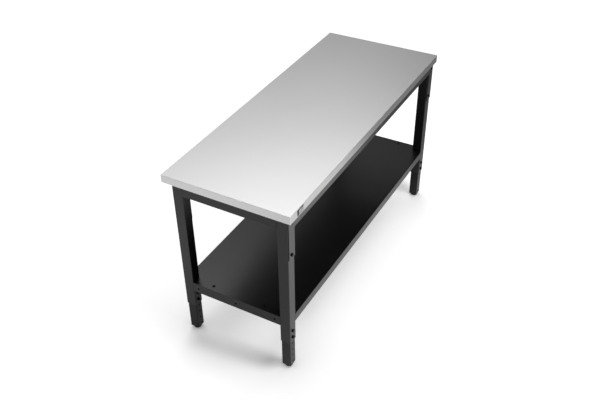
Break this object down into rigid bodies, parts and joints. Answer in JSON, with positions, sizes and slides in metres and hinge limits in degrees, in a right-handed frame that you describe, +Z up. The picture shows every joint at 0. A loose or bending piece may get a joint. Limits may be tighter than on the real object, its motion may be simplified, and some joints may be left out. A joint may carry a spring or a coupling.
{
  "type": "assembly table",
  "caption": "Workshop assembly table: metal-covered top on a black steel frame with telescopic legs, lower shelf and levelling feet.",
  "frame": {"origin": "on the floor under the middle of the top", "axes": "+X along the long sides, towards the right end seen from the front; -Y is the front, the side with the smaller overhang and the label; +Z up"},
  "size_m": [1.5, 0.6004, 0.85],
  "materials": {
    "top_sheet": "satin, no visible grain",
    "board": "raw particle board",
    "label": "satin, blank",
    "frame_paint": "satin powder coat",
    "inner_leg_paint": "satin powder coat",
    "black_plastic": "matt",
    "black_fastener": "black oxide",
    "zinc": "zinc plated"
  },
  "bodies": {
    "leg_base": {"inner_leg_front_left": "inner_leg_paint", "leg_plug_front_left": "black_plastic", "inner_leg_front_right": "inner_leg_paint", "leg_plug_front_right": "black_plastic", "inner_leg_rear_left": "inner_leg_paint", "leg_plug_rear_left": "black_plastic", "inner_leg_rear_right": "inner_leg_paint", "leg_plug_rear_right": "black_plastic"},
    "foot_front_left": {"foot_pad_front_left": "black_plastic", "foot_stud_front_left": "zinc"},
    "foot_front_right": {"foot_pad_front_right": "black_plastic", "foot_stud_front_right": "zinc"},
    "foot_rear_left": {"foot_pad_rear_left": "black_plastic", "foot_stud_rear_left": "zinc"},
    "foot_rear_right": {"foot_pad_rear_right": "black_plastic", "foot_stud_rear_right": "zinc"},
    "table": {"top_cover": "top_sheet", "top_board": "board", "label_plate": "label", "shelf_tray": "frame_paint", "shelf_screws": "black_fastener", "bracket_bolts": "black_fastener", "bracket_nuts": "zinc", "lock_bolts": "black_fastener", "lock_nuts": "black_fastener", "top_screws": "zinc", "outer_leg_front_left": "frame_paint", "rail_plate_front_left": "frame_paint", "outer_leg_front_right": "frame_paint", "rail_plate_front_right": "frame_paint", "outer_leg_rear_left": "frame_paint", "rail_plate_rear_left": "frame_paint", "outer_leg_rear_right": "frame_paint", "rail_plate_rear_right": "frame_paint", "upper_end_rail_left": "frame_paint", "lower_end_rail_left": "frame_paint", "upper_end_rail_right": "frame_paint", "lower_end_rail_right": "frame_paint", "long_rail_front": "frame_paint", "long_rail_rear": "frame_paint"}
  },
  "joints": [
    {"name": "height_adjust", "type": "slide", "parent": "leg_base", "child": "table", "axis": [0, 0, 1], "range_m": [-0.1125, 0.1125]},
    {"name": "level_front_left", "type": "slide", "parent": "leg_base", "child": "foot_front_left", "axis": [0, 0, -1], "range_m": [-0.0025, 0.015]},
    {"name": "level_front_right", "type": "slide", "parent": "leg_base", "child": "foot_front_right", "axis": [0, 0, -1], "range_m": [-0.0025, 0.015]},
    {"name": "level_rear_left", "type": "slide", "parent": "leg_base", "child": "foot_rear_left", "axis": [0, 0, -1], "range_m": [-0.0025, 0.015]},
    {"name": "level_rear_right", "type": "slide", "parent": "leg_base", "child": "foot_rear_right", "axis": [0, 0, -1], "range_m": [-0.0025, 0.015]}
  ]
}
